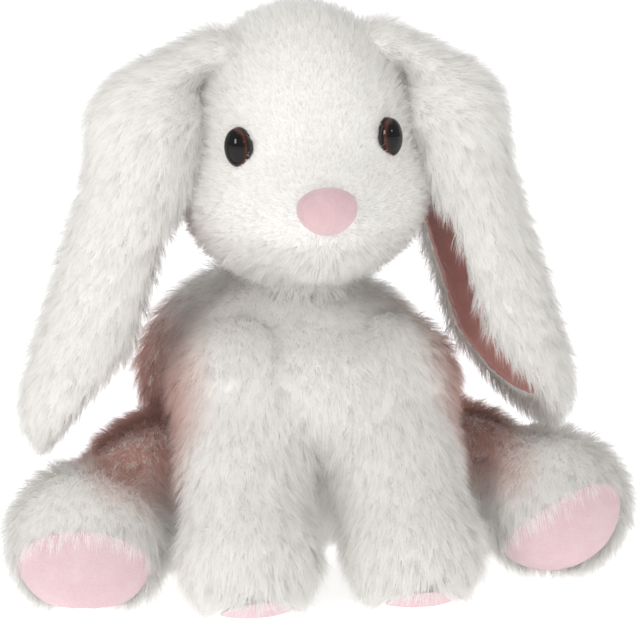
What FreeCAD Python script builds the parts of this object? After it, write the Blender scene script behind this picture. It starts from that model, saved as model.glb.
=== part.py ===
import FreeCAD, Part
import os
import re
from functools import partial

import Sketcher

# A sitting lop-eared plush rabbit, in millimetres.
# +Z is up and the rabbit faces -Y, so +X is its own left side.
# The origin is the middle of the flat seat, on the floor.
# Outer surfaces follow the middle of the fur pile.

SIZES = {
    # play between pieces
    "fit_gap": 0.4,
    "move_gap": 1.0,
    "skin_wall": 9.0,
    # torso: a wide seat with the chest above it
    "hip_half_width": 62.0,
    "hip_half_depth": 60.0,
    "hip_half_height": 62.0,
    "hip_back": 8.0,
    "seat_sink": 6.0,
    "chest_half_width": 64.0,
    "chest_half_depth": 58.0,
    "chest_half_height": 60.0,
    "chest_forward": 34.0,
    "chest_rise": 100.0,
    # neck, around the point that the head turns on, set by the top of the chest
    "neck_ahead": 16.0,
    "neck_sink": 4.0,
    "neck_radius": 20.0,
    "collar_half_height": 11.0,
    # head, measured from the neck point
    "head_turn": -3.0,
    "head_tilt": 3.0,
    "skull_up": 74.0,
    "skull_forward": 12.0,
    "skull_half_width": 57.0,
    "skull_half_depth": 56.0,
    "skull_half_height": 66.0,
    "cheek_up": 46.0,
    "cheek_forward": 18.0,
    "cheek_half_width": 62.0,
    "cheek_half_depth": 56.0,
    "cheek_half_height": 43.0,
    "muzzle_up": 42.0,
    "muzzle_forward": 60.0,
    "muzzle_half_width": 33.0,
    "muzzle_half_depth": 26.0,
    "muzzle_half_height": 27.0,
    # nose
    "nose_width": 32.0,
    "nose_height": 25.0,
    "nose_depth": 9.0,
    "nose_sink": 5.0,
    "nose_up": 47.0,
    "nose_lift": 8.0,
    "nose_corner": 5.0,
    "nose_edge": 2.5,
    # safety eyes
    "eye_out": 38.0,
    "eye_up": 77.0,
    "eye_outward": 45.0,
    "eye_radius": 9.5,
    "eye_dome": 6.5,
    "eye_sink": 3.0,
    "pupil_radius": 7.4,
    "pupil_depth": 1.6,
    "stem_radius": 2.4,
    "stem_length": 15.0,
    "washer_radius": 9.0,
    "washer_depth": 1.8,
    # ears, measured from the seam on top of the head
    "ear_root_out": 38.0,
    "ear_root_up": 120.0,
    "ear_root_forward": 12.0,
    "ear_root_radius": 11.0,
    "ear_root_length": 46.0,
    "ear_arm_out": 33.0,
    "ear_arm_down": 11.0,
    "ear_arm_slope": 32.0,
    "ear_arm_half_length": 40.0,
    "ear_arm_half_width": 28.0,
    "ear_arm_half_depth": 13.0,
    "ear_bend_out": 46.0,
    "ear_bend_down": 38.0,
    "ear_bend_radius": 24.0,
    "ear_out": 57.0,
    "ear_down": 106.0,
    "ear_slope": 18.0,
    "ear_half_length": 88.0,
    "ear_half_width": 36.0,
    "ear_half_depth": 39.0,
    "ear_wall": 12.0,
    "ear_rim": 8.0,
    "ear_lip": 15.0,
    "ear_twist": 12.0,
    "ear_lining": 2.2,
    # forelegs
    "foreleg_half_space": 7.0,
    "shoulder_forward": 80.0,
    "shoulder_rise": 101.0,
    "foreleg_lean": 32.0,
    "foreleg_half_length": 66.0,
    "foreleg_half_width": 35.0,
    "foreleg_half_depth": 32.0,
    "paw_half_space": 5.0,
    "paw_forward": 122.0,
    "paw_half_width": 38.0,
    "paw_half_height": 34.0,
    "paw_half_length": 34.0,
    "paw_sink": 2.0,
    "paw_pad_down": 58.0,
    "paw_pad_half_width": 21.0,
    "paw_pad_half_height": 17.0,
    # hind legs, the rabbit's left one a little wider out and rolled over
    "hip_inset": 8.0,
    "hip_forward": 4.0,
    "hip_rise": 46.0,
    "left_spread": 45.0,
    "right_spread": 41.0,
    "thigh_half_length": 66.0,
    "thigh_half_width": 38.0,
    "thigh_half_height": 43.0,
    "foot_reach": 102.0,
    "foot_half_width": 40.0,
    "foot_half_height": 37.0,
    "foot_half_length": 41.0,
    "foot_sink": 2.0,
    "left_sole_turn": -5.0,
    "right_sole_turn": -12.0,
    "left_sole_down": 16.0,
    "right_sole_down": 18.0,
    "left_sole_roll": 34.0,
    "right_sole_roll": 0.0,
    "sole_half_width": 37.0,
    "sole_half_height": 30.0,
    "pad_recess": 2.0,
    "pad_wall": 3.0,
    # tail
    "tail_play": 2.5,
    "tail_back": 66.0,
    "tail_rise": 36.0,
    "tail_root_radius": 17.0,
    "tail_out": 18.0,
    "tail_up": 4.0,
    "tail_half_width": 22.0,
    "tail_half_depth": 24.0,
}

doc = FreeCAD.newDocument("Rabbit")
sheet = doc.addObject("Spreadsheet::Sheet", "Sizes")
for row, (alias, value) in enumerate(SIZES.items(), start=1):
    sheet.set(f"A{row}", alias)
    sheet.set(f"B{row}", str(value))
    sheet.setAlias(f"B{row}", alias)
doc.recompute()


def sized(text):
    """The expression with each named size read from the sheet."""
    return re.sub(r"[a-z_]+", lambda word: f"Sizes.{word[0]}" if word[0] in SIZES else word[0], str(text))


def bind(thing, **expressions):
    """Bind properties of a document object to the sheet."""
    for name, text in expressions.items():
        thing.setExpression(name, sized(text))
    return thing


def place(x=0, y=0, z=0, turn=0, tilt=0, roll=0):
    """A placement expression: a point, then turns about Z, Y and X."""
    return f"placement(vector({x}; {y}; {z}); rotation({turn}; {tilt}; {roll}))"


def egg(name, where, half_x, half_y, half_z, poles="y"):
    """An ellipsoid with its half sizes along its own axes.

    Its poles lie along local Y or X, clear of the places where shapes run together.
    """
    shape = doc.addObject("Part::Ellipsoid", name)
    shape.Angle1 = -90
    if poles == "y":
        on_back = where + " * " + place(roll=90)
        return bind(shape, Radius1=half_y, Radius2=half_x, Radius3=half_z, Placement=on_back)
    on_side = where + " * " + place(tilt=90)
    return bind(shape, Radius1=half_x, Radius2=half_z, Radius3=half_y, Placement=on_side)


def ball(name, where, radius):
    return bind(doc.addObject("Part::Sphere", name), Radius=radius, Placement=where)


def rod(name, where, radius, length):
    """A cylinder that starts at its placement and runs along local Z."""
    shape = doc.addObject("Part::Cylinder", name)
    return bind(shape, Radius=radius, Height=length, Placement=where)


def join(name, *shapes):
    union = doc.addObject("Part::MultiFuse", name)
    union.Shapes = list(shapes)
    return union


def common(name, first, second):
    shared = doc.addObject("Part::Common", name)
    shared.Base = first
    shared.Tool = second
    return shared


def cut(name, base, *tools):
    """The base less each tool in turn."""
    for count, tool in enumerate(tools, start=1):
        rest = doc.addObject("Part::Cut", name if count == len(tools) else f"{name}_less_{count}")
        rest.Base = base
        rest.Tool = tool
        base = rest
    return base


def below_floor(name, inset):
    """A slab under the floor, raised by the inset."""
    slab = doc.addObject("Part::Box", name)
    where = place(-400, -400, f"{inset} - 200")
    return bind(slab, Length=800, Width=800, Height=200, Placement=where)


# ---------------------------------------------------------------- places

NECK_POINT = (0, "-(chest_forward + neck_ahead)", "chest_rise + chest_half_height - neck_sink")
NECK = place(*NECK_POINT)
HEAD = place(*NECK_POINT, "head_turn", "-head_tilt")
UPRIGHT = place(tilt="head_tilt") + " * " + place(turn="-head_turn")
SIDES = {"left": 1, "right": -1}


def in_head(x=0, y=0, z=0, turn=0, tilt=0, roll=0):
    return HEAD + " * " + place(x, y, z, turn, tilt, roll)


def ear_root(side):
    """The ear seam on the head; the ear itself hangs plumb."""
    return in_head(f"{side} * ear_root_out", "-ear_root_forward", "ear_root_up") + " * " + UPRIGHT


def shoulder(side):
    out = f"{side} * (foreleg_half_width + foreleg_half_space)"
    return place(out, "-shoulder_forward", "shoulder_rise")


def hip(label):
    """The hip joint, with local -Y along the thigh."""
    side = SIDES[label]
    out = f"{side} * (hip_half_width - hip_inset)"
    return place(out, "-hip_forward", "hip_rise", f"{side} * {label}_spread")


def foot(label):
    """The middle of the foot, with local +Z out through the sole."""
    side = SIDES[label]
    out = f"{side} * (hip_half_width - hip_inset + foot_reach * sin({label}_spread))"
    back = f"-hip_forward - foot_reach * cos({label}_spread)"
    drop = f"(foot_half_length * sin({label}_sole_down))^2"
    rise = f"sqrt({drop} + (foot_half_height * cos({label}_sole_down))^2) - foot_sink"
    facing = place(turn=f"{label}_sole_turn", roll=f"90 + {label}_sole_down")
    return place(out, back, rise) + " * " + facing


def paw(side):
    """The middle of the paw, with local +Z out through the pad."""
    drop = "(paw_half_length * sin(paw_pad_down))^2"
    rise = f"sqrt({drop} + (paw_half_height * cos(paw_pad_down))^2) - paw_sink"
    out = f"{side} * (paw_half_width + paw_half_space)"
    return place(out, "-paw_forward", rise, roll="90 + paw_pad_down")


def eye(side):
    """The seat of an eye on the skull, with local +Z looking out."""
    across = "(eye_out / skull_half_width)^2"
    above = "((eye_up - skull_up) / skull_half_height)^2"
    forward = f"skull_forward + skull_half_depth * sqrt(1 - {across} - {above})"
    seat = in_head(f"{side} * eye_out", f"-({forward})", "eye_up", f"{side} * eye_outward", 0, 90)
    return seat + " * " + place(z="-eye_sink")


# ------------------------------------------------------- soft body shapes
# Each shape is drawn at a depth below its fur, so that the cover, the room
# inside it and the stuffing come from the same sizes.


def foreleg_shape(side, name, inset):
    leg = place(roll="-foreleg_lean") + " * " + place(z="-foreleg_half_length / 2")
    half_x, half_y = f"foreleg_half_width - {inset}", f"foreleg_half_depth - {inset}"
    limb = egg(f"{name}_limb", shoulder(side) + " * " + leg, half_x, half_y, f"foreleg_half_length - {inset}")
    radius = f"max(foreleg_half_length / 2; foreleg_half_width) - {inset}"
    top = ball(f"{name}_shoulder", shoulder(side), radius)
    half_x, half_y = f"paw_half_width - {inset}", f"paw_half_height - {inset}"
    end = egg(f"{name}_paw", paw(side), half_x, half_y, f"paw_half_length - {inset}")
    return join(name, limb, top, end)


def hind_leg_shape(label, name, inset):
    along = hip(label) + " * " + place(y="-thigh_half_length / 2")
    half_x, half_y = f"thigh_half_width - {inset}", f"thigh_half_length - {inset}"
    thigh = egg(f"{name}_thigh", along, half_x, half_y, f"thigh_half_height - {inset}")
    radius = f"max(thigh_half_length / 2; thigh_half_height * 0.88) - {inset}"
    joint = ball(f"{name}_hip", hip(label), radius)
    half_x, half_y = f"foot_half_width - {inset}", f"foot_half_height - {inset}"
    end = egg(f"{name}_foot", foot(label), half_x, half_y, f"foot_half_length - {inset}")
    return join(name, thigh, joint, end)


def tail_shape(name, inset):
    root = ball(f"{name}_root", place(0, "tail_back", "tail_rise"), f"tail_root_radius - {inset}")
    where = place(0, "tail_back + tail_out", "tail_rise + tail_up")
    half_x, half_y = f"tail_half_width - {inset}", f"tail_half_depth - {inset}"
    return join(name, root, egg(f"{name}_tuft", where, half_x, half_y, half_x))


def neck_pocket(name, grow):
    """Room for the neck in the torso and in the head."""
    return ball(name, NECK, f"neck_radius + fit_gap + skin_wall + {grow}")


def torso_shape(name, inset):
    seat = place(0, "hip_back", "hip_half_height - seat_sink")
    half_x, half_y = f"hip_half_width - {inset}", f"hip_half_depth - {inset}"
    hips = egg(f"{name}_hips", seat, half_x, half_y, f"hip_half_height - {inset}")
    bust = place(0, "-chest_forward", "chest_rise")
    half_x, half_y = f"chest_half_width - {inset}", f"chest_half_depth - {inset}"
    chest = egg(f"{name}_chest", bust, half_x, half_y, f"chest_half_height - {inset}")
    room = f"move_gap + {inset}"
    tools = [below_floor(f"{name}_floor", inset), neck_pocket(f"{name}_neck", room)]
    for label, side in SIDES.items():
        tools.append(foreleg_shape(side, f"{name}_{label}_foreleg", f"(-({room}))"))
        tools.append(hind_leg_shape(label, f"{name}_{label}_hind_leg", f"(-({room}))"))
    tools.append(tail_shape(f"{name}_tail", f"(-({room} + tail_play))"))
    return cut(name, join(f"{name}_pear", hips, chest), *tools)


def skull_and_cheeks(name, inset, poles="y"):
    skull_place = in_head(0, "-skull_forward", "skull_up")
    half_x, half_y = f"skull_half_width - {inset}", f"skull_half_depth - {inset}"
    skull = egg(f"{name}_skull", skull_place, half_x, half_y, f"skull_half_height - {inset}", poles)
    cheek_place = in_head(0, "-cheek_forward", "cheek_up")
    half_x, half_y = f"cheek_half_width - {inset}", f"cheek_half_depth - {inset}"
    cheeks = egg(f"{name}_cheeks", cheek_place, half_x, half_y, f"cheek_half_height - {inset}", poles)
    return skull, cheeks


def head_shape(name, inset):
    skull, cheeks = skull_and_cheeks(name, inset)
    muzzle_place = in_head(0, "-muzzle_forward", "muzzle_up")
    half_x, half_y = f"muzzle_half_width - {inset}", f"muzzle_half_depth - {inset}"
    muzzle = egg(f"{name}_muzzle", muzzle_place, half_x, half_y, f"muzzle_half_height - {inset}")
    room = f"move_gap + {inset}"
    tools = [neck_pocket(f"{name}_neck", room)]
    for label, side in SIDES.items():
        tools.append(ear_barrel(f"{name}_{label}_ear", side, room))
    return cut(name, join(f"{name}_solid", skull, cheeks, muzzle), *tools)


def cover_and_stuffing(name, shape, grounded=False):
    """A furry cover with its room inside, and the stuffing that fills it.

    A grounded cover is flattened underneath, where it stands on the floor.
    """
    outer = shape(f"{name}_outer", "0")
    if grounded:
        outer = cut(f"{name}_grounded", outer, below_floor(f"{name}_floor", "0"))
    room = shape(f"{name}_room", "skin_wall")
    cover = cut(f"{name}_skin", outer, room)
    return cover, shape(f"{name}_core", "(skin_wall + fit_gap)")


# ------------------------------------------------------------ small pieces


def eye_pieces(label, side):
    """A clear dome, the dark pupil with its stem, and the locking washer."""
    seat = eye(side)
    ball_radius = "(eye_radius^2 + eye_dome^2) / (2 * eye_dome)"
    cap = ball(f"{label}_eye_cap", seat + " * " + place(z=f"eye_dome - {ball_radius}"), ball_radius)
    barrel = rod(f"{label}_eye_barrel", seat, "eye_radius", "eye_dome")
    hollow = rod(f"{label}_eye_hollow", seat, "pupil_radius + fit_gap / 4", "pupil_depth + fit_gap / 4")
    dome = cut(f"{label}_eye_dome", common(f"{label}_eye_lens", cap, barrel), hollow)
    disc = rod(f"{label}_eye_disc", seat, "pupil_radius", "pupil_depth")
    stem_seat = seat + " * " + place(z="-stem_length")
    stem = rod(f"{label}_eye_stem", stem_seat, "stem_radius", "stem_length + pupil_depth / 2")
    pupil = join(f"{label}_eye_pupil", disc, stem)
    under = seat + " * " + place(z="eye_sink - skin_wall - fit_gap - washer_depth")
    ring = rod(f"{label}_eye_ring", under, "washer_radius", "washer_depth")
    bore = rod(f"{label}_eye_bore", under, "stem_radius + fit_gap / 4", "washer_depth")
    return {"eye_dome": dome, "eye_pupil": pupil, "eye_washer": cut(f"{label}_eye_washer", ring, bore)}


def eye_socket(label, side):
    """Holes in the cover for the dome, the stem and the washer behind it."""
    seat = eye(side)
    rim = rod(f"{label}_socket_rim", seat + " * " + place(z="-fit_gap"), "eye_radius + fit_gap", 30)
    stem_seat = seat + " * " + place(z="-stem_length - fit_gap")
    stem = rod(f"{label}_socket_stem", stem_seat, "stem_radius + fit_gap", "stem_length + 2 * fit_gap")
    under = seat + " * " + place(z="eye_sink - skin_wall - 2 * fit_gap - washer_depth")
    washer_room = "washer_depth + 2 * fit_gap"
    washer = rod(f"{label}_socket_washer", under, "washer_radius + fit_gap", washer_room)
    return join(f"{label}_socket", rim, stem, washer)


def nose_body(name, grow):
    """A rounded triangle, wide at the top, padded out and softened all round."""
    body = doc.addObject("PartDesign::Body", name)
    sketch = body.newObject("Sketcher::SketchObject", f"{name}_sketch")
    planes = {item.Role: item for item in body.Origin.OriginFeatures}
    sketch.AttachmentSupport = [(planes["XY_Plane"], "")]
    sketch.MapMode = "FlatFace"
    corners = [(-16, 10), (16, 10), (0, -14)]
    for index, (x, y) in enumerate(corners):
        next_x, next_y = corners[(index + 1) % 3]
        line = Part.LineSegment(FreeCAD.Vector(x, y, 0), FreeCAD.Vector(next_x, next_y, 0))
        sketch.addGeometry(line)
    for index in range(3):
        sketch.addConstraint(Sketcher.Constraint("Coincident", index, 2, (index + 1) % 3, 1))
    sketch.addConstraint(Sketcher.Constraint("Symmetric", 0, 1, 0, 2, -2))
    sketch.addConstraint(Sketcher.Constraint("PointOnObject", 1, 2, -2))
    across = sketch.addConstraint(Sketcher.Constraint("DistanceX", 0, 1, 0, 2, 32))
    upper = sketch.addConstraint(Sketcher.Constraint("DistanceY", -1, 1, 0, 1, 10))
    lower = sketch.addConstraint(Sketcher.Constraint("DistanceY", 1, 2, -1, 1, 14))
    # The corners are rounded off, so the triangle is drawn larger than the nose.
    bind(sketch, **{f"Constraints[{across}]": f"nose_width + nose_corner + 2 * {grow}"})
    bind(sketch, **{f"Constraints[{upper}]": f"nose_height * 0.42 + {grow}"})
    bind(sketch, **{f"Constraints[{lower}]": f"nose_height * 0.58 + 0.4 * nose_corner + 2 * {grow}"})
    pad = body.newObject("PartDesign::Pad", f"{name}_pad")
    pad.Profile = sketch
    bind(pad, Length=f"nose_depth + {grow}")
    doc.recompute()
    upright = [
        f"Edge{number}"
        for number, edge in enumerate(pad.Shape.Edges, start=1)
        if abs(edge.tangentAt(edge.FirstParameter).z) > 0.9
    ]
    corner = body.newObject("PartDesign::Fillet", f"{name}_corners")
    corner.Base = (pad, upright)
    bind(corner, Radius=f"nose_corner + {grow}")
    doc.recompute()
    top = max(corner.Shape.Faces, key=lambda face: face.CenterOfMass.z)
    rim = [
        f"Edge{number}"
        for number, edge in enumerate(corner.Shape.Edges, start=1)
        if all(abs(vertex.Z - top.CenterOfMass.z) < 0.001 for vertex in edge.Vertexes)
    ]
    edge = body.newObject("PartDesign::Fillet", f"{name}_edge")
    edge.Base = (corner, rim)
    bind(edge, Radius="nose_edge")
    body.Tip = edge
    forward = "-(muzzle_forward + muzzle_half_depth - nose_sink)"
    where = in_head(0, forward, "nose_up", roll="90 - nose_lift")
    return bind(body, Placement=where + " * " + place(z=f"-{grow}"))


def pad_pieces(name, where, half_x, half_y, half_z, pad_x, pad_y, roll):
    """A sewn-in pad on the end of a limb, and the pocket in the cover for it.

    The limb end has its middle at `where`, with local +Z out through the pad.
    """
    rim = where + " * " + place(z=half_z, turn=roll)
    halves = (half_x, half_y, half_z)
    front = egg(f"{name}_front", where, *(f"{half} - pad_recess" for half in halves))
    back = egg(f"{name}_back", where, *(f"{half} - pad_recess - pad_wall" for half in halves))
    outline = egg(f"{name}_outline", rim, pad_x, pad_y, "pad_recess + 4 * pad_wall")
    pad = cut(f"{name}_pad", common(f"{name}_disc", front, outline), back)
    floor = egg(f"{name}_floor", where, *(f"{half} - pad_recess - pad_wall - fit_gap" for half in halves))
    grown = [f"{size} + fit_gap" for size in (pad_x, pad_y, "pad_recess + 4 * pad_wall")]
    pocket = cut(f"{name}_pocket", egg(f"{name}_room", rim, *grown), floor)
    return pad, pocket


# ------------------------------------------------------------------- ears


def ear_barrel(name, side, grow):
    """The rolled seam edge of the ear, which the ear lifts about."""
    length = f"ear_root_length + 2 * {grow}"
    where = ear_root(side) + " * " + place(y=f"({length}) / 2", roll=90)
    return rod(name, where, f"ear_root_radius + {grow}", length)


def ear_frame(side):
    """The middle of the hanging leaf, with local Z along it, twisted to open a little forward."""
    leaf = place(f"{side} * ear_out", 0, "-ear_down", tilt=f"-{side} * ear_slope")
    return ear_root(side) + " * " + leaf + " * " + place(turn=f"{side} * ear_twist")


def ear_leaf(name, side):
    half = ("ear_half_depth", "ear_half_width", "ear_half_length")
    return egg(name, ear_frame(side), *half, "x")


def ear_scoop(name, side, inset):
    """The hollow of the leaf, one wall in from its outside."""
    half_x = f"ear_half_depth - ear_wall - {inset}"
    half_y, half_z = f"ear_half_width - ear_rim - {inset}", f"ear_half_length - ear_wall - {inset}"
    return egg(name, ear_frame(side), half_x, half_y, half_z, "x")


def ear_opening(name, side, inset):
    """The side of the leaf that is cut away, towards the head."""
    slab = doc.addObject("Part::Box", name)
    where = ear_frame(side) + " * " + place(f"-50 - {side} * (ear_lip - {inset} + 50)", -100, -150)
    return bind(slab, Length=100, Width=200, Height=300, Placement=where)


def ear_outer(name, side):
    """The outside of the whole ear: seam barrel, arm, bend and open leaf."""
    root = ear_root(side)
    slope = place(f"{side} * ear_arm_out", 0, "-ear_arm_down", tilt=f"{side} * ear_arm_slope")
    half = ("ear_arm_half_length", "ear_arm_half_width", "ear_arm_half_depth")
    arm = egg(f"{name}_arm", root + " * " + slope, *half, "x")
    bend_place = root + " * " + place(f"{side} * ear_bend_out", 0, "-ear_bend_down")
    bend = ball(f"{name}_bend", bend_place, "ear_bend_radius")
    leaf = cut(f"{name}_open_leaf", ear_leaf(f"{name}_leaf", side), ear_opening(f"{name}_opening", side, "0"))
    barrel = ear_barrel(f"{name}_barrel", side, "0")
    skull, cheeks = skull_and_cheeks(f"{name}_clear", "(-move_gap)", "x")
    hanging = cut(f"{name}_hanging", join(f"{name}_solid", arm, bend, leaf), skull, cheeks)
    return join(name, hanging, barrel)


def ear_pieces(label, side):
    """The furry outside of the ear and the smooth lining of its hollow."""
    outer = ear_outer(f"{label}_ear_outer", side)
    fur = cut(f"{label}_ear_fur", outer, ear_scoop(f"{label}_ear_hollow", side, "0"))
    skin = ear_scoop(f"{label}_ear_lining_out", side, "fit_gap")
    room = ear_scoop(f"{label}_ear_lining_in", side, "(fit_gap + ear_lining)")
    mouth = ear_opening(f"{label}_ear_mouth", side, "fit_gap")
    return fur, cut(f"{label}_ear_lining", cut(f"{label}_ear_bowl", skin, room), mouth)


# ---------------------------------------------------------------- the build

nodes = {}


def torso():
    nodes["torso_cover"], nodes["torso_stuffing"] = cover_and_stuffing("torso", torso_shape)


def neck():
    nodes["neck_stuffing"] = ball("neck_core", NECK, "neck_radius")
    sleeve = ball("neck_sleeve", NECK, "neck_radius + fit_gap + skin_wall")
    bore = ball("neck_bore", NECK, "neck_radius + fit_gap")
    foot_of_collar = NECK + " * " + place(z="-collar_half_height")
    radius = "neck_radius + 2 * skin_wall"
    band = rod("neck_band", foot_of_collar, radius, "2 * collar_half_height")
    nodes["neck_cover"] = common("neck_collar", cut("neck_shell", sleeve, bore), band)


def head():
    cover, stuffing = cover_and_stuffing("head", head_shape)
    nose = nose_body("nose_pad", "0")
    seat = nose_body("nose_seat", "fit_gap")
    cover_tools, stuffing_tools = [], []
    for label, side in SIDES.items():
        for kind, piece in eye_pieces(label, side).items():
            nodes[f"{kind}_{label}"] = piece
        cover_tools.append(eye_socket(label, side))
        stuffing_tools.append(eye_socket(f"{label}_inner", side))
    nodes["head_cover"] = cut("head_skin_open", cover, join("head_openings", seat, *cover_tools))
    nodes["head_stuffing"] = cut("head_core_open", stuffing, join("head_core_openings", *stuffing_tools))
    nodes["nose"] = nose


def ears():
    for label, side in SIDES.items():
        nodes[f"ear_fur_{label}"], nodes[f"ear_lining_{label}"] = ear_pieces(label, side)


def forelegs():
    half = ("paw_half_width", "paw_half_height", "paw_half_length")
    for label, side in SIDES.items():
        cover, stuffing = cover_and_stuffing(f"{label}_foreleg", partial(foreleg_shape, side), True)
        size = ("paw_pad_half_width", "paw_pad_half_height")
        pad, pocket = pad_pieces(f"{label}_paw", paw(side), *half, *size, 0)
        nodes[f"foreleg_cover_{label}"] = cut(f"{label}_foreleg_open", cover, pocket)
        nodes[f"foreleg_stuffing_{label}"] = stuffing
        nodes[f"paw_pad_{label}"] = pad


def hind_legs():
    half = ("foot_half_width", "foot_half_height", "foot_half_length")
    for label, side in SIDES.items():
        cover, stuffing = cover_and_stuffing(f"{label}_hind_leg", partial(hind_leg_shape, label), True)
        size = ("sole_half_width", "sole_half_height")
        pad, pocket = pad_pieces(f"{label}_sole", foot(label), *half, *size, f"{label}_sole_roll")
        nodes[f"hind_leg_cover_{label}"] = cut(f"{label}_hind_leg_open", cover, pocket)
        nodes[f"hind_leg_stuffing_{label}"] = stuffing
        nodes[f"sole_pad_{label}"] = pad


def tail():
    nodes["tail_cover"], nodes["tail_stuffing"] = cover_and_stuffing("tail", tail_shape)


for build in (torso, neck, head, ears, forelegs, hind_legs, tail):
    build()
doc.recompute()

for name, piece in nodes.items():
    piece.Label = name
for item in doc.Objects:
    if {"Invalid", "Error"} & set(item.State):
        raise RuntimeError(f"{item.Name} failed to build: {item.State}")
for name, piece in nodes.items():
    if piece.Shape.isNull() or not piece.Shape.isValid() or len(piece.Shape.Solids) != 1:
        raise RuntimeError(f"{name} is not one valid solid: {len(piece.Shape.Solids)}")
    print(name, round(piece.Shape.Volume), "mm3")

os.makedirs("parts", exist_ok=True)
for name, piece in nodes.items():
    piece.Shape.exportStep(f"parts/{name}.step")
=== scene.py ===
import math
from functools import partial

import bpy
import numpy as np
from mathutils import Matrix, Vector
from mathutils.kdtree import KDTree


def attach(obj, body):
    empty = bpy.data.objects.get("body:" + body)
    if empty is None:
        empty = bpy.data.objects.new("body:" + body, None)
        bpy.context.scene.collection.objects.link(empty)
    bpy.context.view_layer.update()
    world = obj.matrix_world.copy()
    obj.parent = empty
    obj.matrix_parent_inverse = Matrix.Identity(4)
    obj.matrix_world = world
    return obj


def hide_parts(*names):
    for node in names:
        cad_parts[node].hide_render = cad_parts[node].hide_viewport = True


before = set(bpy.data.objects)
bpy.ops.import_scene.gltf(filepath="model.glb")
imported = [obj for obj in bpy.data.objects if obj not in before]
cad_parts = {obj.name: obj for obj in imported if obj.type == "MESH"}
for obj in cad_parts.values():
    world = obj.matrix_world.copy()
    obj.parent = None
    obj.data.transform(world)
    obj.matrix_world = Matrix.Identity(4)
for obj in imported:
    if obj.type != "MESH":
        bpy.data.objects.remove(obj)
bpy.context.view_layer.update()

# A sitting plush rabbit. Shapes are worked out in millimetres and made in metres.
# Each furry part is a smooth skin with its own combed strands of pile, and rides on its CAD body.

MM = 0.001
SIDES = {"left": 1, "right": -1}


# ------------------------------------------------------------------ frames


def place(x=0.0, y=0.0, z=0.0, turn=0.0, tilt=0.0, roll=0.0):
    """A frame at a point in millimetres, turned about Z, then Y, then X, in degrees."""
    turned = Matrix.Rotation(math.radians(turn), 4, "Z") @ Matrix.Rotation(math.radians(tilt), 4, "Y")
    return Matrix.Translation((x, y, z)) @ turned @ Matrix.Rotation(math.radians(roll), 4, "X")


HEAD_TURN = -3.0
HEAD_TILT = -3.0
HEAD = place(0, -50, 156, HEAD_TURN, HEAD_TILT)
UPRIGHT = place(tilt=-HEAD_TILT) @ place(turn=-HEAD_TURN)
SKULL_FORWARD, SKULL_UP = 12, 74
SKULL_HALF = (57, 56, 66)
EYE_OUT, EYE_UP = 38, 77

# Hind legs: how far each one is turned out, how its sole is turned, leaned back and rolled,
# the half sizes of the sole pad, and how high the foot is held off the floor.
HIP_OUT, HIP_FORWARD, HIP_RISE = 54, 4, 46
FOOT_REACH = 102
SPREAD = {"left": 45.0, "right": 39.0}
SOLE = {"left": (-5.0, 16.0, 34.0), "right": (-12.0, 18.0, 0.0)}
SOLE_HALF = {"left": (33, 20), "right": (32, 24)}
SOLE_RISE = {"left": 4.0, "right": 0.0}

# Forelegs, by side: the rabbit puts its right one a little further out.
FORELEG_OUT = {1: 36, -1: 42}
PAW_OUT = {1: 39, -1: 43.5}
PAW_FORWARD, PAW_LEAN = 122, 58

# Each ear's leaf: how far it hangs out from its root, and how far down.
EAR_HANG = {1: (57.5, -107.5), -1: (54.5, -106)}
# The fur's backing lies this far inside the outside of the ear.
EAR_INSET = 5.0
SINK = 2


def ear_root(side):
    return HEAD @ place(side * 38, -12, 120) @ UPRIGHT


def ear_leaf(side):
    out, down = EAR_HANG[side]
    return ear_root(side) @ place(side * out, 0, down, tilt=-side * 18) @ place(turn=side * 12)


def hip(label):
    side = SIDES[label]
    return place(side * HIP_OUT, -HIP_FORWARD, HIP_RISE, side * SPREAD[label])


def rest_height(lean, deep, tall):
    """Height of the middle of an egg that leans back and rests on the floor, a little sunk."""
    slope = math.radians(lean)
    return math.hypot(deep * math.sin(slope), tall * math.cos(slope)) - SINK


def foot(label):
    side, spread = SIDES[label], math.radians(SPREAD[label])
    turn, lean, _ = SOLE[label]
    out = side * (HIP_OUT + FOOT_REACH * math.sin(spread))
    back = -HIP_FORWARD - FOOT_REACH * math.cos(spread)
    return place(out, back, rest_height(lean, 41, 37) + SOLE_RISE[label]) @ place(turn=turn, roll=90 + lean)


def paw(side):
    return place(side * PAW_OUT[side], -PAW_FORWARD, rest_height(PAW_LEAN, 34, 34), roll=90 + PAW_LEAN)


def eye(side):
    """The seat of an eye: a little inside the skull's surface, and turned outward."""
    wide, deep, tall = SKULL_HALF
    up = EYE_UP - SKULL_UP
    forward = SKULL_FORWARD + deep * math.sqrt(1 - (EYE_OUT / wide) ** 2 - (up / tall) ** 2)
    return HEAD @ place(side * EYE_OUT, -forward, EYE_UP, side * 45, 0, 90) @ place(z=-3)


NOSE = HEAD @ place(0, -81, 47, roll=82)


# ------------------------------------------------- shapes as distances (mm)


def local(points, frame_matrix):
    """Points in a frame's own axes."""
    inverse = np.array(frame_matrix.inverted())
    return points @ inverse[:3, :3].T + inverse[:3, 3]


def egg(points, where, half):
    """Distance to an ellipsoid, negative inside."""
    p = local(points, where)
    half = np.array(half, float)
    scaled = np.linalg.norm(p / half, axis=1)
    steep = np.linalg.norm(p / half**2, axis=1)
    return scaled * (scaled - 1) / np.maximum(steep, 1e-9)


def union(blend, *distances):
    """Shapes run together over a soft fillet."""
    total = distances[0]
    for other in distances[1:]:
        share = np.clip(0.5 + 0.5 * (total - other) / blend, 0, 1)
        total = total * (1 - share) + other * share - blend * share * (1 - share)
    return total


def less(blend, shape, tool):
    """A shape with a softly rounded cut."""
    return -union(blend, -shape, tool)


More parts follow.
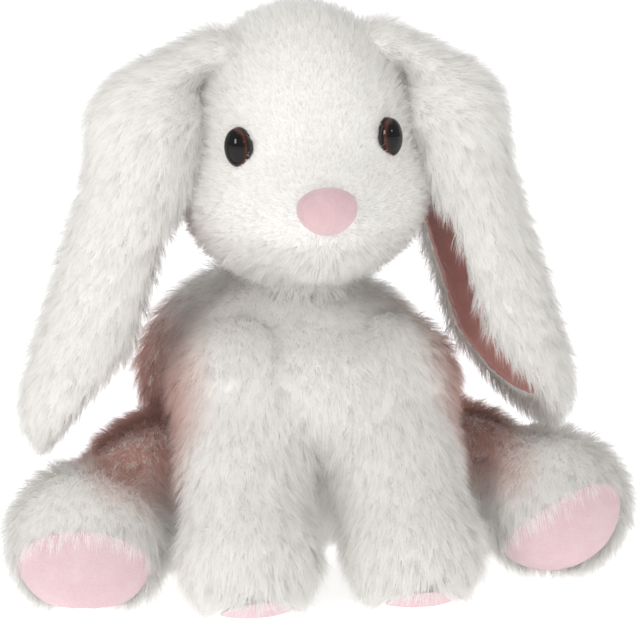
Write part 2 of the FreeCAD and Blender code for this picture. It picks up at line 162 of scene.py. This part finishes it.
def head_shape(p):
    skull = egg(p, HEAD @ place(0, -12, 76), (57, 56, 68))
    cheeks = egg(p, HEAD @ place(0, -18, 46), (62, 56, 43))
    muzzle = egg(p, HEAD @ place(0, -60, 42), (33, 26, 27))
    return union(16, skull, cheeks, muzzle)


def torso_shape(p):
    hips = egg(p, place(-3, 8, 58), (70, 60, 62))
    chest = egg(p, place(2, -60, 101), (63, 60, 45))
    yoke = egg(p, place(-2, -38, 124), (68, 46, 38))
    back = egg(p, place(-6, -6, 104), (80, 46, 66))
    body = union(18, union(18, hips, chest), union(14, yoke, back))
    return np.maximum(body, 5 - p[:, 2])


def neck_shape(p):
    return egg(p, place(0, -50, 156), (29, 29, 13))


def foreleg_shape(p, side):
    leg = place(side * FORELEG_OUT[side], -80, 101, roll=-32)
    limb = egg(p, leg @ place(z=-37), (36, 31, 61))
    top = egg(p, place(side * 42, -72, 106), (35, 31, 36))
    end = egg(p, paw(side), (38, 34, 34))
    whole = union(14, limb, top, end)
    # The fur runs up over the seam onto the chest.
    seam = np.maximum(union(18, whole, torso_shape(p)), whole - 6)
    return np.maximum(seam, 5 - p[:, 2])


def hind_leg_shape(p, label):
    thigh = egg(p, hip(label) @ place(y=-33), (38, 66, 43))
    joint = egg(p, hip(label), (37.8, 37.8, 37.8))
    end = egg(p, foot(label), (43, 40, 42))
    return np.maximum(union(14, thigh, joint, end), 5 - p[:, 2])


def tail_shape(p):
    root = egg(p, place(0, 66, 36), (17, 17, 17))
    tuft = egg(p, place(0, 84, 40), (22, 24, 22))
    return union(8, root, tuft)


def level_set(points, function, reach=0.5):
    """A distance made from a smooth function that is negative inside."""
    value = function(points)
    steps = np.eye(3) * reach
    steep = [(function(points + step) - function(points - step)) / (2 * reach) for step in steps]
    return value / np.maximum(np.linalg.norm(steep, axis=0), 1e-4)


def ear_leaf_shape(p, side, out, wide, long):
    """The hanging leaf: straight on the outside, and round at the tip."""

    def function(points):
        q = local(points, ear_leaf(side))
        across = (q[:, 0] / out) ** 2 + (q[:, 1] / wide) ** 2
        return across + np.abs(q[:, 2] / long) ** 8 - 1

    return level_set(p, function)


def ear_mouth(p, side, rim=0.0):
    """Positive on the side of the leaf that is open; the rim slants outward to the tip."""
    q = local(p, ear_leaf(side))
    slant = np.clip((-36 - q[:, 2]) / 55, 0, 1.3)
    above = np.clip((q[:, 2] - 25) / 40, 0, 1)
    return -side * q[:, 0] - (17 + rim + 12 * above - 24 * slant)


def ear_scoop(p, side, inset=0.0):
    return ear_leaf_shape(p, side, 22 - inset, 26 - inset, 80 - inset)


def ear_shape(p, side, inset=0.0):
    root = ear_root(side)
    leaf = ear_leaf_shape(p, side, 31, 36, 101) + inset
    leaf = -union(3, -leaf, -ear_mouth(p, side))
    arm = egg(p, root @ place(side * 31, 0, -13, tilt=side * 32), (40, 29, 15))
    bend = egg(p, root @ place(side * 41, 0, -42), (26, 30, 30))
    barrel = egg(p, root, (14, 25, 14))
    whole = union(16, leaf, union(14, arm, bend, barrel) + inset)
    return less(2, whole, ear_scoop(p, side))


# ----------------------------------------------------------- mesh building


def surface(shape, low, high, step):
    """Vertices and quads of a distance field's zero surface, by surface nets."""
    axes = [np.arange(a, b + step, step) for a, b in zip(low, high)]
    grid = np.stack(np.meshgrid(*axes, indexing="ij"), -1)
    field = shape(grid.reshape(-1, 3)).reshape(grid.shape[:3])
    inside = field < 0
    cells = tuple(n - 1 for n in field.shape)
    total, count = np.zeros(cells + (3,)), np.zeros(cells)

    def corner(a, i, j, k):
        return a[i:i + cells[0], j:j + cells[1], k:k + cells[2]]

    for axis in range(3):
        for first in (0, 1):
            for second in (0, 1):
                start = [first, second]
                start.insert(axis, 0)
                end = list(start)
                end[axis] = 1
                a, b = corner(field, *start), corner(field, *end)
                crossing = (a < 0) != (b < 0)
                share = np.where(crossing, a / np.where(crossing, a - b, 1), 0)
                point = np.broadcast_to(np.array(start, float), cells + (3,)).copy()
                point[..., axis] += share
                total += point * crossing[..., None]
                count += crossing
    used = count > 0
    number = np.full(cells, -1)
    number[used] = np.arange(used.sum())
    where = np.argwhere(used)
    vertices = (where + total[used] / count[used][:, None]) * step + np.array(low)
    quads = []
    for axis in range(3):
        others = [a for a in range(3) if a != axis]
        size = [n - 1 if a == axis else n for a, n in enumerate(field.shape)]
        a = inside[: size[0], : size[1], : size[2]]
        shift = [1 if n == axis else 0 for n in range(3)]
        b = inside[shift[0]: shift[0] + size[0], shift[1]: shift[1] + size[1], shift[2]: shift[2] + size[2]]
        at = np.argwhere(a != b)
        at = at[(at[:, others] > 0).all(1)]
        at = at[(at[:, others] < np.array(cells)[others]).all(1)]
        ring = []
        for d1, d2 in ((0, 0), (-1, 0), (-1, -1), (0, -1)):
            cell = at.copy()
            cell[:, others[0]] += d1
            cell[:, others[1]] += d2
            ring.append(number[tuple(cell.T)])
        quad = np.stack(ring, 1)
        outward = a[tuple(at.T)] ^ (axis == 1)
        quads.append(np.where(outward[:, None], quad, quad[:, ::-1]))
    return vertices, np.concatenate(quads)


def new_object(name, mesh):
    thing = bpy.data.objects.new(name, mesh)
    bpy.context.scene.collection.objects.link(thing)
    return thing


def mesh_from(name, vertices, faces, normals=None, uv=None):
    """A mesh from arrays in millimetres; every face has the same number of corners."""
    mesh = bpy.data.meshes.new(name)
    corners = faces.shape[1]
    mesh.vertices.add(len(vertices))
    mesh.vertices.foreach_set("co", (vertices * MM).astype(np.float32).ravel())
    mesh.loops.add(faces.size)
    mesh.loops.foreach_set("vertex_index", faces.astype(np.int32).ravel())
    mesh.polygons.add(len(faces))
    mesh.polygons.foreach_set("loop_start", np.arange(0, faces.size, corners, dtype=np.int32))
    if uv is not None:
        layer = mesh.uv_layers.new(name="OFBake")
        layer.uv.foreach_set("vector", uv[faces.ravel()].astype(np.float32).ravel())
    mesh.update(calc_edges=True)
    mesh.polygons.foreach_set("use_smooth", np.ones(len(faces), bool))
    if normals is not None:
        mesh.normals_split_custom_set_from_vertices(normals.astype(np.float32))
    return mesh


def slope(shape, points, reach=0.5):
    """Outward unit normals of a distance field."""
    steps = np.eye(3) * reach
    sides = [shape(points + step) - shape(points - step) for step in steps]
    normal = np.stack(sides, 1)
    return normal / np.maximum(np.linalg.norm(normal, axis=1, keepdims=True), 1e-9)


def unit(vectors):
    return vectors / np.maximum(np.linalg.norm(vectors, axis=1, keepdims=True), 1e-9)


# -------------------------------------------------------------------- fur

STRAND_STEPS = np.array([0.0, 0.5, 1.0])
STRANDS_IN_A_TUFT = 9
LOWEST_STRAND = 0.4


def grow(shape, vertices, quads, count, seed, style, tint):
    """Strands of pile on a skin: their vertices, triangles, shading normals and UVs.

    style gives, for points on the skin, the comb direction, the length, how far the strands stand
    up, and a keep mask. tint is how much painted pink light, standing for the light the ear linings throw,
    the strands take.
    """
    rng = np.random.default_rng(seed)
    triangles = np.concatenate([quads[:, [0, 1, 2]], quads[:, [0, 2, 3]]])
    a, b, c = (vertices[triangles[:, i]] for i in range(3))
    area = np.linalg.norm(np.cross(b - a, c - a), axis=1)
    chosen = rng.choice(len(triangles), count, p=area / area.sum())
    u, v = rng.random((2, count, 1))
    over = (u + v) > 1
    u, v = np.where(over, 1 - u, u), np.where(over, 1 - v, v)
    root = a[chosen] * (1 - u - v) + b[chosen] * u + c[chosen] * v
    normal = slope(shape, root)
    comb, length, lift, keep = style(root)
    # Painted pink light: strands beside the ear linings are coloured pink to stand for the light the
    # linings throw on them.
    painted_pink_light = under_ears(root)[keep] * tint
    root, normal, comb = root[keep], normal[keep], comb[keep]
    length, lift = length[keep], lift[keep][:, None]
    count = len(root)
    # Strands gather into small tufts, which lean and catch the light together.
    tufts = max(1, count // STRANDS_IN_A_TUFT)
    tree = KDTree(tufts)
    for index in range(tufts):
        tree.insert(root[index], index)
    tree.balance()
    leader = np.array([tree.find(point)[1] for point in root])
    lean = rng.normal(size=(tufts, 3))[leader]
    flow = unit(comb - normal * np.sum(comb * normal, 1, keepdims=True))
    lean *= np.clip(length / 12, 0.3, 1)[:, None]
    wander = lean * 0.13 + rng.normal(size=(count, 3)) * 0.1
    start = unit(normal * lift + flow * (1 - lift) + wander)
    bend = flow * 0.5 - normal * 0.25 + rng.normal(size=(count, 3)) * 0.12
    length = length * rng.uniform(0.72, 1.12, count)
    path = [root + length[:, None] * (start * s + bend * s * s * 0.55) for s in STRAND_STEPS]
    pull = rng.uniform(0.0, 0.6, count)[:, None]
    for step, s in enumerate(STRAND_STEPS):
        gathered = path[step][leader] + (path[0] - path[0][leader]) * 0.25
        path[step] = path[step] + (gathered - path[step]) * pull * s**1.3
    for points in path:
        points[:, 2] = np.maximum(points[:, 2], LOWEST_STRAND)
    side = unit(np.cross(start, normal + rng.normal(size=(count, 3)) * 0.12))
    width = rng.uniform(0.24, 0.42, count)[:, None] * np.clip(length / 9, 0.6, 1)[:, None]
    points = []
    for step, s in enumerate(STRAND_STEPS[:-1]):
        half = side * width * (1 - 0.55 * s) / 2
        points += [path[step] - half, path[step] + half]
    points.append(path[-1])
    points = np.stack(points, 1).reshape(-1, 3)
    pattern = np.array([(0, 1, 3), (0, 3, 2), (2, 3, 4)])
    faces = (np.arange(count)[:, None, None] * 5 + pattern).reshape(-1, 3)
    shading = unit(normal + lean * 0.16 + rng.normal(size=(count, 3)) * 0.08)
    along = np.repeat(STRAND_STEPS, [2, 2, 1])
    shade = 0.02 + 0.92 * painted_pink_light + 0.04 * rng.random(count)
    uv = np.stack([np.repeat(shade, 5), np.tile(along, count)], 1)
    return points, faces, np.repeat(shading, 5, axis=0), uv


# ---------------------------------------------------------------- materials


class Nodes:
    """A small helper that adds and links shader nodes."""

    def __init__(self, name):
        self.material = bpy.data.materials.new(name)
        self.material.use_nodes = True
        self.tree = self.material.node_tree
        self.shader = self.tree.nodes["Principled BSDF"]
        self.output = self.tree.nodes["Material Output"]

    def add(self, kind, **inputs):
        node = self.tree.nodes.new(kind)
        for name, value in inputs.items():
            self.set(node, name.replace("_", " "), value)
        return node

    def set(self, node, name, value):
        socket = node.inputs[name]
        if isinstance(value, bpy.types.NodeSocket):
            self.tree.links.new(value, socket)
        else:
            socket.default_value = value

    def ramp(self, factor, *stops):
        node = self.tree.nodes.new("ShaderNodeValToRGB")
        self.tree.links.new(factor, node.inputs["Fac"])
        elements = node.color_ramp.elements
        while len(elements) < len(stops):
            elements.new(0.5)
        for element, (position, colour) in zip(elements, stops):
            element.position = position
            element.color = (*colour, 1)
        return node.outputs["Color"]

    def maths(self, operation, first, second=0.0):
        node = self.tree.nodes.new("ShaderNodeMath")
        node.operation = operation
        for socket, value in zip(node.inputs, (first, second)):
            if isinstance(value, bpy.types.NodeSocket):
                self.tree.links.new(value, socket)
            else:
                socket.default_value = value
        return node.outputs[0]

    def mix(self, factor, first, second, mode="MIX"):
        node = self.tree.nodes.new("ShaderNodeMix")
        node.data_type = "RGBA"
        node.blend_type = mode
        for socket, value in zip((node.inputs[0], node.inputs[6], node.inputs[7]), (factor, first, second)):
            if isinstance(value, bpy.types.NodeSocket):
                self.tree.links.new(value, socket)
            else:
                socket.default_value = value
        return node.outputs[2]


def fur_material():
    """White pile: painted shade makes it darker and creamy at the root, bright at the tip, each strand a
    little different, with painted pink light from the ear linings on some strands.
    """
    nodes = Nodes("white_pile")
    uv = nodes.add("ShaderNodeUVMap")
    uv.uv_map = "OFBake"
    parts = nodes.add("ShaderNodeSeparateXYZ", Vector=uv.outputs["UV"])
    # Painted shade: the root is darker and creamy, standing for the shade deep in the pile, whose strands
    # cast no shadows.
    along = nodes.ramp(
        parts.outputs["Y"],
        (0.0, (0.74, 0.72, 0.69)),
        (0.45, (0.93, 0.925, 0.91)),
        (1.0, (0.98, 0.978, 0.97)),
    )
    chance = nodes.add("ShaderNodeTexWhiteNoise")
    chance.noise_dimensions = "1D"
    nodes.tree.links.new(parts.outputs["X"], chance.inputs["W"])
    tone = nodes.ramp(chance.outputs["Value"], (0.0, (0.94, 0.935, 0.925)), (1.0, (1, 1, 1)))
    # Painted pink light: the strands' U coordinate carries how much pink light from the ear linings is
    # painted on them.
    painted_pink_light = nodes.ramp(parts.outputs["X"], (0.05, (1, 1, 1)), (0.95, (0.78, 0.52, 0.47)))
    colour = nodes.mix(1.0, nodes.mix(1.0, along, tone, "MULTIPLY"), painted_pink_light, "MULTIPLY")
    nodes.set(nodes.shader, "Base Color", colour)
    nodes.set(nodes.shader, "Roughness", 0.55)
    nodes.set(nodes.shader, "Specular IOR Level", 0.25)
    through = nodes.add("ShaderNodeBsdfTranslucent", Color=colour)
    blend = nodes.add("ShaderNodeMixShader", Fac=0.5)
    nodes.tree.links.new(nodes.shader.outputs[0], blend.inputs[1])
    nodes.tree.links.new(through.outputs[0], blend.inputs[2])
    nodes.tree.links.new(blend.outputs[0], nodes.output.inputs["Surface"])
    return nodes.material


def skin_material():
    """The dense underfur and knit backing that show between the strands."""
    nodes = Nodes("pile_backing")
    where = nodes.add("ShaderNodeTexCoord").outputs["Object"]
    fine = nodes.add("ShaderNodeTexNoise", Vector=where, Scale=900.0, Detail=4.0)
    colour = nodes.ramp(fine.outputs["Fac"], (0.3, (0.88, 0.865, 0.85)), (0.7, (0.94, 0.93, 0.92)))
    nodes.set(nodes.shader, "Base Color", colour)
    nodes.set(nodes.shader, "Roughness", 0.9)
    bump = nodes.add("ShaderNodeBump", Strength=0.6, Distance=0.002, Height=fine.outputs["Fac"])
    nodes.set(nodes.shader, "Normal", bump.outputs["Normal"])
    return nodes.material


def velour_material(name, dark, light, nap=1400.0):
    """Short-napped cloth: brushed patches, a fine nap and a soft sheen at the edges."""
    nodes = Nodes(name)
    where = nodes.add("ShaderNodeTexCoord").outputs["Object"]
    fine = nodes.add("ShaderNodeTexNoise", Vector=where, Scale=nap, Detail=3.0)
    brushed = nodes.add("ShaderNodeTexNoise", Vector=where, Scale=60.0, Detail=5.0, Distortion=1.2)
    speckle = nodes.maths("MULTIPLY", fine.outputs["Fac"], 0.6)
    both = nodes.maths("ADD", speckle, nodes.maths("MULTIPLY", brushed.outputs["Fac"], 0.4))
    nodes.set(nodes.shader, "Base Color", nodes.ramp(both, (0.3, dark), (0.7, light)))
    nodes.set(nodes.shader, "Roughness", 0.85)
    nodes.set(nodes.shader, "Sheen Weight", 0.5)
    nodes.set(nodes.shader, "Sheen Roughness", 0.4)
    bump = nodes.add("ShaderNodeBump", Strength=0.45, Distance=0.0008, Height=fine.outputs["Fac"])
    nodes.set(nodes.shader, "Normal", bump.outputs["Normal"])
    return nodes.material


def eye_material():
    """A glossy moulded eye: black pupil in a deep brown iris that lightens outward."""
    nodes = Nodes("eye_gloss")
    uv = nodes.add("ShaderNodeUVMap")
    uv.uv_map = "OFBake"
    parts = nodes.add("ShaderNodeSeparateXYZ", Vector=uv.outputs["UV"])
    grain = nodes.add("ShaderNodeTexNoise", Vector=uv.outputs["UV"], Scale=30.0, Detail=3.0)
    radius = nodes.maths("ADD", parts.outputs["Y"], nodes.maths("MULTIPLY", grain.outputs["Fac"], 0.03))
    colour = nodes.ramp(
        radius,
        (0.84, (0.003, 0.002, 0.002)),
        (0.90, (0.03, 0.008, 0.005)),
        (0.96, (0.09, 0.024, 0.012)),
        (1.0, (0.02, 0.007, 0.006)),
    )
    nodes.set(nodes.shader, "Base Color", colour)
    nodes.set(nodes.shader, "Roughness", 0.05)
    nodes.set(nodes.shader, "Specular IOR Level", 0.15)
    nodes.set(nodes.shader, "Coat Weight", 0.3)
    nodes.set(nodes.shader, "Coat Roughness", 0.02)
    return nodes.material


def plastic_material(name, colour):
    nodes = Nodes(name)
    where = nodes.add("ShaderNodeTexCoord").outputs["Object"]
    grain = nodes.add("ShaderNodeTexNoise", Vector=where, Scale=2500.0, Detail=2.0)
    darker = tuple(c * 0.85 for c in colour)
    nodes.set(nodes.shader, "Base Color", nodes.ramp(grain.outputs["Fac"], (0.3, darker), (0.7, colour)))
    nodes.set(nodes.shader, "Roughness", 0.4)
    return nodes.material


FUR = fur_material()
SKIN = skin_material()
LINING = velour_material("ear_velour", (0.58, 0.30, 0.27), (0.72, 0.42, 0.385))
PAD = velour_material("pad_velour", (0.62, 0.43, 0.455), (0.74, 0.57, 0.60))
SUEDE = velour_material("nose_suede", (0.60, 0.40, 0.42), (0.73, 0.52, 0.54), nap=2200.0)
EYE = eye_material()


# ------------------------------------------------------------- furry parts


def in_pad(points, where, half_z, half_x, half_y, roll=0.0):
    """Which points lie under a sewn pad on the end of a limb."""
    p = local(points, where @ place(z=half_z, turn=roll))
    inside = (p[:, 0] / half_x) ** 2 + (p[:, 1] / half_y) ** 2 < 1
    return inside & (p[:, 2] > -half_z)


def smooth(value, low, high):
    t = np.clip((value - low) / (high - low), 0, 1)
    return t * t * (3 - 2 * t)


def under_ears(p):
    """How much painted pink light the pile gets, standing for the light that the ear linings throw on the
    body beside them.
    """
    out = np.abs(p[:, 0] + 4)
    beside = smooth(out, 46, 74) * smooth(-out, -122, -98) * smooth(p[:, 2], 42, 74)
    return beside * smooth(p[:, 1], -116, -86) * smooth(-p[:, 1], -50, 0)


def down(points):
    return np.tile((0.0, 0.0, -1.0), (len(points), 1))


def head_style(p):
    """Short pile on the face that sweeps back from the nose, longer on the crown."""
    q = local(p, HEAD)
    nose = np.array((0, -84, 44.0))
    away = unit(q - nose)
    comb = away + np.array((0, 0.4, -0.15))
    comb = comb @ np.array(HEAD.to_3x3()).T
    face = np.clip((-q[:, 1] - 20) / 40, 0, 1) * np.clip((q[:, 2] - 10) / 25, 0, 1)
    length = 11.0 - 6.5 * face
    below_nose = smooth(-q[:, 2], -40, -22) * smooth(-q[:, 1], 50, 70)
    length += 3.5 * below_nose
    lift = 0.5 - 0.2 * face
    keep = np.ones(len(p), bool)
    for side in SIDES.values():
        at_eye = local(p, eye(side)) * (side, 1, 1)
        keep &= np.sum(((at_eye - (1.5, 0, 0)) / (6.2, 9, 14)) ** 2, axis=1) > 1
    at_nose = local(p, NOSE)
    keep &= ~np.all(np.abs(at_nose) < (12.5, 9, 14), axis=1)
    return comb, length, lift, keep


def torso_style(p):
    comb = down(p) + np.array((0, -0.25, 0))
    return comb, np.full(len(p), 14.0), np.full(len(p), 0.42), np.ones(len(p), bool)


def neck_style(p):
    return down(p), np.full(len(p), 11.0), np.full(len(p), 0.5), np.ones(len(p), bool)


def foreleg_style(side):
    def style(p):
        keep = ~in_pad(p, paw(side), 34, 16, 15)
        q = local(p, paw(side))
        near = np.clip(1 - np.linalg.norm(q, axis=1) / 60, 0, 1)[:, None]
        outward = unit(q * (1, 1, 0.2)) @ np.array(paw(side).to_3x3()).T
        comb = unit(down(p) * (1 - near) + outward * near + np.array((0, -0.2, 0)))
        return comb, 13.0 - 2.0 * near[:, 0], np.full(len(p), 0.45), keep
    return style


def hind_leg_style(label):
    def style(p):
        half = SOLE_HALF[label]
        roll = SOLE[label][2]
        keep = ~in_pad(p, foot(label), 42, half[0] - 1, half[1] - 1, roll)
        forward = -np.array(foot(label).to_3x3())[:, 2]
        comb = unit(down(p) * 0.7 - forward * 0.6)
        return comb, np.full(len(p), 13.0), np.full(len(p), 0.5), keep
    return style


def tail_style(p):
    comb = unit(p - np.array((0, 60, 36.0)))
    return comb, np.full(len(p), 12.0), np.full(len(p), 0.6), np.ones(len(p), bool)


def ear_style(side):
    def style(p):
        along = -np.array(ear_leaf(side).to_3x3())[:, 2]
        q = local(p, ear_leaf(side))
        upper = np.clip((q[:, 2] - 60) / 30, 0, 1)[:, None]
        outward = np.tile((side * 1.0, 0, -0.3), (len(p), 1))
        comb = along * (1 - upper) + outward * upper
        keep = ear_scoop(p, side, -0.8) > 0
        return comb, np.full(len(p), 12.0), np.full(len(p), 0.42), keep
    return style


def furry(name, body, node, shape, low, high, inset, count, seed, style, tint=0.0):
    """A skin and its strands, which stand for a CAD cover.

    The skin lies inset inside the shape, within the box from low to high.
    """
    def skin_shape(p):
        return shape(p) + inset

    count = int(count * SHARE)
    vertices, quads = surface(skin_shape, low, high, 2.5)
    skin = new_object(f"{name}_skin", mesh_from(f"{name}_skin", vertices, quads))
    skin.data.materials.append(SKIN)
    strands = mesh_from(f"{name}_pile", *grow(skin_shape, vertices, quads, count, seed, style, tint))
    pile = new_object(f"{name}_pile", strands)
    pile.data.materials.append(FUR)
    # Lamps shine through the fine pile; the skin under it casts their shadows.
    pile.visible_shadow = False
    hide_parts(node)
    for piece in (skin, pile):
        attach(piece, body)
    return skin


# The share of the strands that is grown.
SHARE = 1.0


def make_covers():
    furry(
        "head", "head", "head_cover", head_shape, (-90, -150, 140), (90, 30, 310),
        4.0, 64000, 1, head_style,
    )
    furry(
        # The torso and legs get painted pink light from the ear linings; the last number of each call is
        # its share.
        "torso", "torso", "torso_cover", torso_shape, (-90, -116, -5), (90, 80, 180),
        5.5, 60000, 2, torso_style, 1.0,
    )
    furry(
        "neck", "neck", "neck_cover", neck_shape, (-40, -90, 130), (40, -10, 180),
        5.0, 8000, 3, neck_style,
    )
    furry(
        "tail", "tail", "tail_cover", tail_shape, (-35, 40, 5), (35, 120, 75),
        6.0, 14000, 4, tail_style,
    )
    for label, side in SIDES.items():
        low, high = sorted((side * -5, side * 95))
        furry(
            f"foreleg_{label}", f"foreleg_{label}", f"foreleg_cover_{label}",
            partial(foreleg_shape, side=side), (low, -170, -5), (high, -30, 150),
            5.5, 46000, 10 + side, foreleg_style(side), 0.8,
        )
        low, high = sorted((side * 5, side * 180))
        furry(
            f"hind_leg_{label}", f"hind_leg_{label}", f"hind_leg_cover_{label}",
            partial(hind_leg_shape, label=label), (low, -145, -5), (high, 60, 100),
            5.5, 54000, 20 + side, hind_leg_style(label), 0.9,
        )
        low, high = sorted((side * 5, side * 165))
        furry(
            f"ear_{label}", f"ear_{label}", f"ear_fur_{label}",
            partial(ear_shape, side=side, inset=EAR_INSET), (low, -115, 70), (high, -15, 300),
            0.0, 56000, 30 + side, ear_style(side),
        )


# ------------------------------------------------------------ small pieces


def disc_faces(rings, around):
    """Triangles of a disc: point 0 is its middle, and rings of points follow."""
    faces = [(0, 1 + i, 1 + (i + 1) % around) for i in range(around)]
    for ring in range(rings - 1):
        first, second = 1 + ring * around, 1 + (ring + 1) * around
        for i in range(around):
            j = (i + 1) % around
            faces += [(first + i, second + i, second + j), (first + i, second + j, first + j)]
    return np.array(faces)


def in_place(points, where):
    """Points in a frame's own axes, brought into the shared frame."""
    matrix = np.array(where)
    return np.array(points, float) @ matrix[:3, :3].T + matrix[:3, 3]


def circle(angle):
    return 1.0


def dome(name, where, radius, rise, edge, outline=circle, power=2.0, squat=1.0):
    """A crowned button: outline(angle) scales its radius, and its UV is (angle, radius)."""
    rings, around = 14, 48
    vertices, uv = [(0, 0, rise)], [(0.5, 0.0)]
    for ring in range(1, rings + 1):
        r = ring / rings
        for index in range(around):
            angle = 2 * math.pi * index / around
            reach = radius * outline(angle) * r
            height = rise * max(0.0, 1 - r**power) ** (1 / power)
            vertices.append((reach * math.cos(angle), squat * reach * math.sin(angle), height))
            uv.append((index / around, r))
    for index in range(around):
        angle = 2 * math.pi * index / around
        reach = radius * outline(angle)
        vertices.append((reach * math.cos(angle), squat * reach * math.sin(angle), -edge))
        uv.append((index / around, 1.0))
    mesh = mesh_from(name, in_place(vertices, where), disc_faces(rings + 1, around), uv=np.array(uv))
    return new_object(name, mesh)


def make_eyes():
    for label, side in SIDES.items():
        seat = eye(side) @ place(x=side * 1.5, z=0.5, turn=90)
        lens = dome(f"eye_{label}", seat, 9.8, 6.2, edge=3.0, squat=0.74)
        lens.data.materials.append(EYE)
        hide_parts(f"eye_dome_{label}")
        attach(lens, "head")


def nose_outline(angle):
    """Nearly round, with three soft corners, wide at the top."""
    corner = math.cos(1.5 * ((angle - math.pi / 6) % (2 * math.pi / 3)) - math.pi / 2)
    return 1.02 - 0.07 * abs(corner) ** 1.2


def make_nose():
    seat = NOSE @ place(z=1.5)
    nose = dome("nose_pad", seat, 14.8, 10.0, edge=5.0, outline=nose_outline, power=2.4, squat=0.79)
    nose.data.materials.append(SUEDE)
    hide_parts("nose")
    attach(nose, "head")


def sewn_pad(name, where, height, half, shape):
    """An oval of cloth laid onto a limb: a flat oval above it, brought down along its own axis."""
    rings, around = 18, 56
    vertices, uv = [(0, 0, height)], [(0.5, 0)]
    for ring in range(1, rings + 1):
        r = ring / rings
        for index in range(around):
            angle = 2 * math.pi * index / around
            vertices.append((half[0] * r * math.cos(angle), half[1] * r * math.sin(angle), height))
            uv.append((index / around, r))
    points = in_place(vertices, where)
    inward = -np.array(where)[:3, 2]
    for _ in range(12):
        points += inward * np.maximum(shape(points) + 2.5, 0)[:, None] * 0.8
    return new_object(name, mesh_from(name, points, disc_faces(rings, around), uv=np.array(uv)))


def finish_pad(pad, node, body):
    pad.data.materials.append(PAD)
    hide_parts(node)
    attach(pad, body)


def make_pads():
    for label, side in SIDES.items():
        where = foot(label) @ place(turn=SOLE[label][2])
        sole = sewn_pad(f"sole_{label}", where, 46, SOLE_HALF[label], partial(hind_leg_shape, label=label))
        finish_pad(sole, f"sole_pad_{label}", f"hind_leg_{label}")
        under = sewn_pad(f"paw_{label}", paw(side), 38, (17, 16), partial(foreleg_shape, side=side))
        finish_pad(under, f"paw_pad_{label}", f"foreleg_{label}")


def lining_shape(p, side):
    """A thin bowl on the wall of the ear's hollow, open at its mouth."""
    bowl = np.maximum(ear_scoop(p, side, -1.0), -ear_scoop(p, side, 1.8))
    return np.maximum(bowl, ear_mouth(p, side, -1.0))


def make_linings():
    for label, side in SIDES.items():
        low, high = sorted((side * 40, side * 150))
        shape = partial(lining_shape, side=side)
        vertices, quads = surface(shape, (low, -105, 90), (high, -25, 260), 1.6)
        lining = new_object(f"ear_lining_{label}", mesh_from(f"ear_lining_{label}", vertices, quads))
        lining.data.materials.append(LINING)
        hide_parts(f"ear_lining_{label}")
        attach(lining, f"ear_{label}")


def carry_over():
    """Materials for the hidden CAD pieces that stay as they are."""
    materials = {
        "washer": plastic_material("washer_plastic", (0.82, 0.82, 0.80)),
        "pupil": plastic_material("pupil_plastic", (0.012, 0.011, 0.010)),
        "stuffing": velour_material("loose_stuffing", (0.82, 0.82, 0.80), (0.93, 0.93, 0.92), nap=300.0),
    }
    for name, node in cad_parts.items():
        for word, material in materials.items():
            if word in name:
                node.data.materials.clear()
                node.data.materials.append(material)


# ------------------------------------------------------------------ studio


FLOOR_REACH = 40.0
# Each light: its place, width, height and power.
LIGHTS = {
    "key": ((-0.95, -0.95, 0.7), 0.3, 0.42, 4.6),
    "fill": ((0.55, -1.1, 0.75), 0.12, 0.12, 0.9),
    "top": ((0.1, -0.05, 1.25), 1.2, 1.2, 2.9),
}
CAMERA_AIM = (0.008, -0.045, 0.137)
CAMERA_DISTANCE = 1.1
CAMERA_AZIMUTH, CAMERA_ELEVATION = -12, 10


def make_floor():
    floor = new_object("floor", bpy.data.meshes.new("floor"))
    corners = [(x * FLOOR_REACH, y * FLOOR_REACH, 0) for x, y in ((-1, -1), (1, -1), (1, 1), (-1, 1))]
    floor.data.from_pydata(corners, [], [(0, 1, 2, 3)])
    nodes = Nodes("floor_white")
    nodes.set(nodes.shader, "Base Color", (0.92, 0.92, 0.92, 1))
    nodes.set(nodes.shader, "Roughness", 0.9)
    nodes.set(nodes.shader, "Emission Color", (1, 1, 1, 1))
    nodes.set(nodes.shader, "Emission Strength", 0.62)
    floor.data.materials.append(nodes.material)


def make_lights(scene):
    scene.world = bpy.data.worlds.new("studio")
    scene.world.use_nodes = True
    background = scene.world.node_tree.nodes["Background"]
    background.inputs["Color"].default_value = (1, 1, 1, 1)
    background.inputs["Strength"].default_value = 0.6
    for name, (where, width, height, power) in LIGHTS.items():
        light = bpy.data.lights.new(name, "AREA")
        light.shape = "RECTANGLE"
        light.size, light.size_y = width, height
        light.energy = power
        lamp = bpy.data.objects.new(name, light)
        lamp.location = where
        aim = Vector((0, -0.05, 0.15)) - Vector(where)
        lamp.rotation_euler = aim.to_track_quat("-Z", "Y").to_euler()
        scene.collection.objects.link(lamp)


def make_camera(scene):
    camera_data = bpy.data.cameras.new("camera")
    camera_data.sensor_width = 36
    camera_data.lens = 118.8
    camera = bpy.data.objects.new("camera", camera_data)
    scene.collection.objects.link(camera)
    azimuth, elevation = math.radians(CAMERA_AZIMUTH), math.radians(CAMERA_ELEVATION)
    level = math.cos(elevation)
    back = Vector((math.sin(azimuth) * level, -math.cos(azimuth) * level, math.sin(elevation)))
    camera.location = Vector(CAMERA_AIM) + back * CAMERA_DISTANCE
    camera.rotation_euler = (-back).to_track_quat("-Z", "Y").to_euler()
    scene.camera = camera


def make_studio():
    scene = bpy.context.scene
    make_floor()
    make_lights(scene)
    make_camera(scene)
    scene.view_settings.view_transform = "Standard"
    scene.cycles.max_bounces = 10
    scene.cycles.diffuse_bounces = 6
    scene.cycles.transparent_max_bounces = 8


make_covers()
make_linings()
make_pads()
make_nose()
make_eyes()
carry_over()
make_studio()
